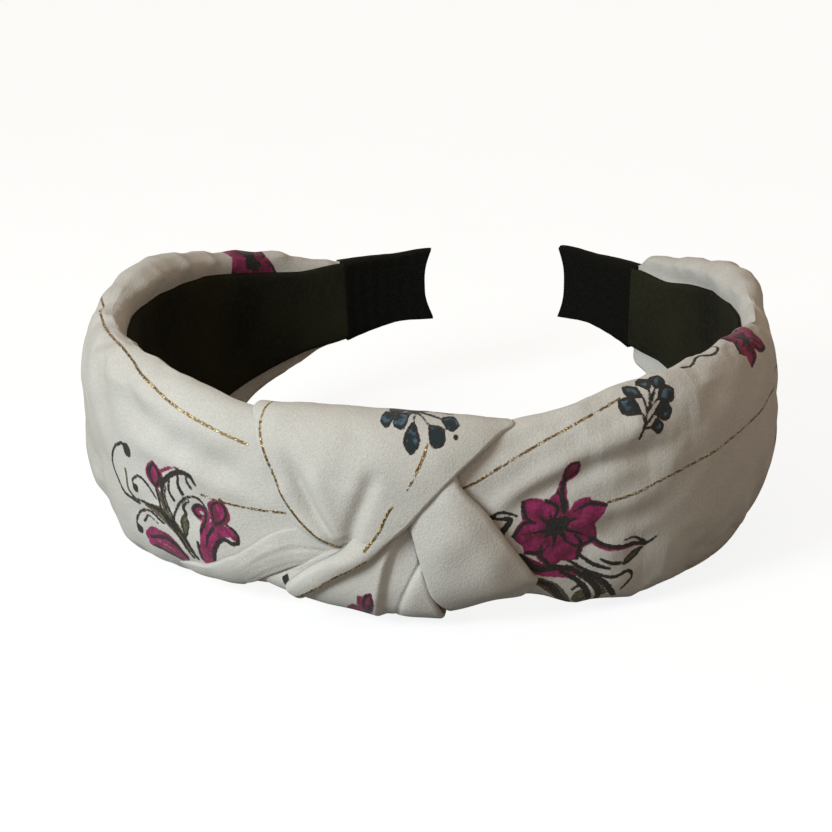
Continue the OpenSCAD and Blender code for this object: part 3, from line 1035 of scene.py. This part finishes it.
def under_relief(u, v, x, q):
    """Two folds that meet under the crossing of the straps, with a valley between them."""
    ridge = x - np.interp(q, (-24, -18, -14.6, -8, -3.7), (3.0, 3.4, 4.2, 6.2, 7.9))
    second = x - np.interp(q, (-19, -17.2, -8.3), (5.4, 8.0, 13.6))
    left = np.exp(np.minimum(ridge, 0) / 4.5)
    valley = -1.7 * smooth(ridge / 2.4)
    facet = 0.7 * smooth((second + 1.5) / 4) - 0.5 * np.exp(-((second / 0.5) ** 2))
    lower_end = 1 - 0.9 * smooth((-q - 13.5) / 6.5)
    return (left + (valley + facet) * lower_end) * smooth(v / 0.25) * (1 - smooth((-q - 21) / 5))


def under_print(p):
    p.petal(-3.5, -18.6, 30, 5.4, 2.2, halo=0.2)
    p.petal(1.2, -17.6, 62, 5.2, 2.2, outline=0.5, halo=0.2)
    p.petal(2.6, -17.0, 118, 3.6, 2.0, halo=0.2)
    p.stroke([(-3.5, -18.8), (0.5, -17.8), (3.2, -15)], 0.6)
    p.petal(-14.6, -12.9, 250, 2.6, 1.7, "blue", outline=0.6)


def pleat_relief(u, v, x, q):
    """Fine drawn wrinkles along the fold."""
    wave = 0.07 * np.sin(u * 17 + 3 * v) + 0.05 * np.sin(u * 31 - 5 * v)
    return wave * smooth((v - 0.45) / 0.3) * np.sin(math.pi * u)


# Rows of the knot's straps, with the columns that strap describes.
FRONT_ROWS = [
    (-21, 31, 27, 30, -1.6, -1.4, -1.8),
    (-22.5, 27, 29.6, 26, -0.2, 1.0, -1.4),
    (-23.2, 22, 33.2, 20.9, 0.1, 3.2, -1.2),
    (-21.4, 18.6, 30.2, 17.9, 0.2, 3.4, -0.6),
    (-19.6, 14.4, 26.6, 14.7, 0.3, 3.2, 0.6),
    (-17.2, 9.8, 20.9, 10.1, 0.3, 2.9, 1.7),
    (-14.4, 3.8, 16.4, 5.8, 0.5, 2.6, 2.3),
    (-11.4, -1.2, 11.8, 0.6, 1.0, 2.8, 2.6),
    (-6.9, -4.2, 8.0, -2.8, 1.0, 2.9, 2.7),
    (-2.6, -6.2, 4.6, -6.0, 0.3, 1.4, 1.2),
    (0.6, -8.4, 3.2, -8.4, -0.8, -0.8, -0.8),
]
ROLL_ROWS = [
    (7.0, 12, 17, 9.6, -0.6, 0.0, -0.4),
    (3.9, 5, 15.2, 5.0, 0.2, 2.0, 1.8),
    (1.8, 0, 11.9, 0.3, 1.2, 2.8, 2.4),
    (-0.4, -4, 8.2, -2.9, 1.8, 3.4, 2.8),
    (-2.6, -6.0, 3.8, -7.1, 2.2, 4.2, 3.2),
    (-6.6, -8.3, -2.3, -10.9, 2.4, 3.9, 3.0),
    (-11.8, -11.9, -7.6, -14.2, 2.2, 3.6, 2.8),
    (-15.4, -15.2, -11.6, -17.0, 1.5, 2.8, 2.2),
    (-17.0, -18.6, -14.0, -20.2, -1.4, -1.2, -1.4),
]
LOWER_ROWS = [
    (14, 8, 21, 14, -0.5, 0.0, -0.4),
    (11.6, 2, 21.5, 8.5, 1.0, 1.7, 0.9),
    (12.6, -4.2, 26.4, 2.2, 1.8, 3.0, 0.9),
    (14.0, -9.8, 31.0, -5.4, 2.4, 3.5, 0.8),
    (15.4, -14.2, 35.2, -12.4, 3.0, 2.9, 0.1),
    (18.4, -18.4, 36.4, -15.6, 3.4, 1.1, -1.0),
    (17.0, -23, 33, -22, 1.6, 0.8, -0.9),
    (16, -30, 29, -29, -1.3, -1.3, -1.3),
]
UNDER_ROWS = [
    (-2, -5, 12, 2, -0.5, -0.2, -0.5),
    (-8, -8.5, 12.9, -3.5, 0.2, 1.0, 0.4),
    (-15, -12.4, 14.2, -9.5, -0.4, 2.0, 1.4),
    (-23, -15.2, 15.6, -14.0, -1.0, 2.9, 3.2),
    (-22, -18, 18.0, -18.5, -1.0, 4.0, 4.9),
    (-17, -22.5, 17.5, -23.5, -0.9, 3.8, 4.4),
    (-11, -29.5, 15, -30, -1.3, -1.3, -1.3),
]
PLEAT_ROWS = [
    (-46, -19.8, -46, -23.5, -1.3, -1.3, -1.3),
    (-41.2, -17.1, -41, -24.2, -0.5, -0.5, -1.2),
    (-36.3, -16.2, -35, -24.2, 0.1, 0.2, -1.0),
    (-32.4, -14.3, -31, -22.8, 0.3, 0.6, -0.6),
    (-28.5, -11.9, -28, -21, 0.4, 0.9, 0.0),
    (-25.7, -10.4, -26, -19, 0.5, 1.0, 0.4),
    (-22.2, -7.9, -23, -17, 0.4, 1.0, 0.7),
    (-16.8, -4.1, -18.5, -14.2, 0.1, 0.8, 0.6),
    (-11.0, -2.6, -13.0, -11.6, -0.4, 0.3, 0.3),
    (-5, -4.5, -7, -9.8, -0.6, -0.2, -0.2),
    (0, -6.4, -2, -8.4, -0.8, -0.6, -0.8),
]


def knot():
    front = [
        strap(FRONT_ROWS, 1.4, front_relief, front_print, 0.3),
        strap(ROLL_ROWS, 1.3, roll_relief, roll_print, 0.3),
    ]
    lower = [strap(LOWER_ROWS, 1.3, lower_relief, lower_print)]
    under = [strap(UNDER_ROWS, 1.0, under_relief, under_print, 0.3)]
    pleat = [strap(PLEAT_ROWS, 0.8, pleat_relief, lambda p: None, 0.35, 0.8)]
    for name, straps, node, flat in (
        ("knot_front_cloth", front, "knot_front_strap", (0.049, 0.056)),
        ("knot_lower_cloth", lower, "knot_lower_strap", (0.022, 0.045)),
        ("knot_under_fold", under, "knot_lower_fold", (0.033, 0.036)),
        ("wing_left_pleat", pleat, "wing_pleat", (0.045, 0.010)),
    ):
        piece = fabric_piece(name, straps, node)
        if name == "wing_left_pleat":
            bend(piece, -1)
        else:
            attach(piece, "crown")


# ---- Lining and tips
def lining_half(name, side, nodes):
    """Half of the brushed ribbon along the inside, from the front to one tip."""
    t = angle_steps(0.0, WING_END - 1.5, 1.0) * side
    across = np.linspace(-1, 1, 41)
    tt, ss = np.meshgrid(t, across, indexing="ij")
    length = hoop_length(tt)
    edge_wave = 1 + 0.025 * ripple(length, 0 * length, 26, 5)
    share = mix(LINING_SHARE * edge_wave, 0.9, beyond(tt, 136, 12))
    rise = mix(2.0, -0.9, beyond(tt, 112, 32)) * beyond(tt, 70, 20)
    s = share * half_height(tt) * ss + rise
    sag = 0.25 * ripple(length, s, 30, 8) * (1 - beyond(tt, 125, 15))
    rim = np.sqrt(np.maximum(1 - np.abs(ss) ** 16, 0))
    outer_depth = -SLEEVE_BACK - LINING_GAP
    inner = place(tt, outer_depth - (LINING_THICKNESS - LINING_EDGE + sag) * rim - LINING_EDGE, s)
    outer = place(tt, outer_depth, s)[:, 1:-1]
    piece = closed_loft(name, [np.concatenate([inner, outer[:, ::-1]], 1)])
    piece.data.materials.append(LINING)
    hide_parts(*nodes)
    bend(piece, side)


def tip_ribbon(name, side, node):
    """Ribbon pocket over the end of one arm, with a slightly hollow, flared end."""
    start = WING_END - 2
    rows = np.linspace(0, 1, 60)
    turn = np.linspace(0.25, 1.25, 160, endpoint=False) * math.tau
    ff, aa = np.meshgrid(rows, turn, indexing="ij")
    across = np.arcsin(np.sin(aa)) * 2 / math.pi
    early = (1 - ff) ** 1.2
    flare = 1.3 * smooth((ff - 0.55) / 0.45) * np.abs(across) ** 3
    tall = mix(TIP_HEIGHT / 2 - 0.5, half_height(start) - 0.9, early) + flare
    thick = mix(1.75, 3.1, early) * (1 + 0.02 * np.sin(ff * 40))
    up = tall * across - 1.2 * early
    out = thick * np.sign(np.cos(aa)) * np.maximum(1 - across ** 12, 0) ** (1 / 12) - 0.62 * early
    end = TIP_ANGLE - 0.3 + 1.6 * np.abs(across) ** 3
    piece = closed_loft(name, [place(mix(start, end, ff) * side, out, up)])
    piece.data.materials.append(RIBBON)
    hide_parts(node)
    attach(piece, "arm_right" if side > 0 else "arm_left")


# ---- Build
add_camera()
add_studio()
wing("wing_left_sleeve", -1, ((14, 52),), left_print, ("wing_left", "wing_left_tuck"))
wing("wing_right_sleeve", 1, ((16, 58), (64, 88)), right_print, ("wing_right", "wing_right_tuck"))
knot()
lining_half("lining_left_half", -1, ("lining_left", "lining_crown"))
lining_half("lining_right_half", 1, ("lining_right",))
tip_ribbon("tip_ribbon_left", -1, "tip_wrap_left")
tip_ribbon("tip_ribbon_right", 1, "tip_wrap_right")
for node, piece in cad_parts.items():
    if node.startswith(("core", "foam", "knot_wadding")):
        piece.data.materials.clear()
        piece.data.materials.append(PLASTIC if node.startswith("core") else FOAM)
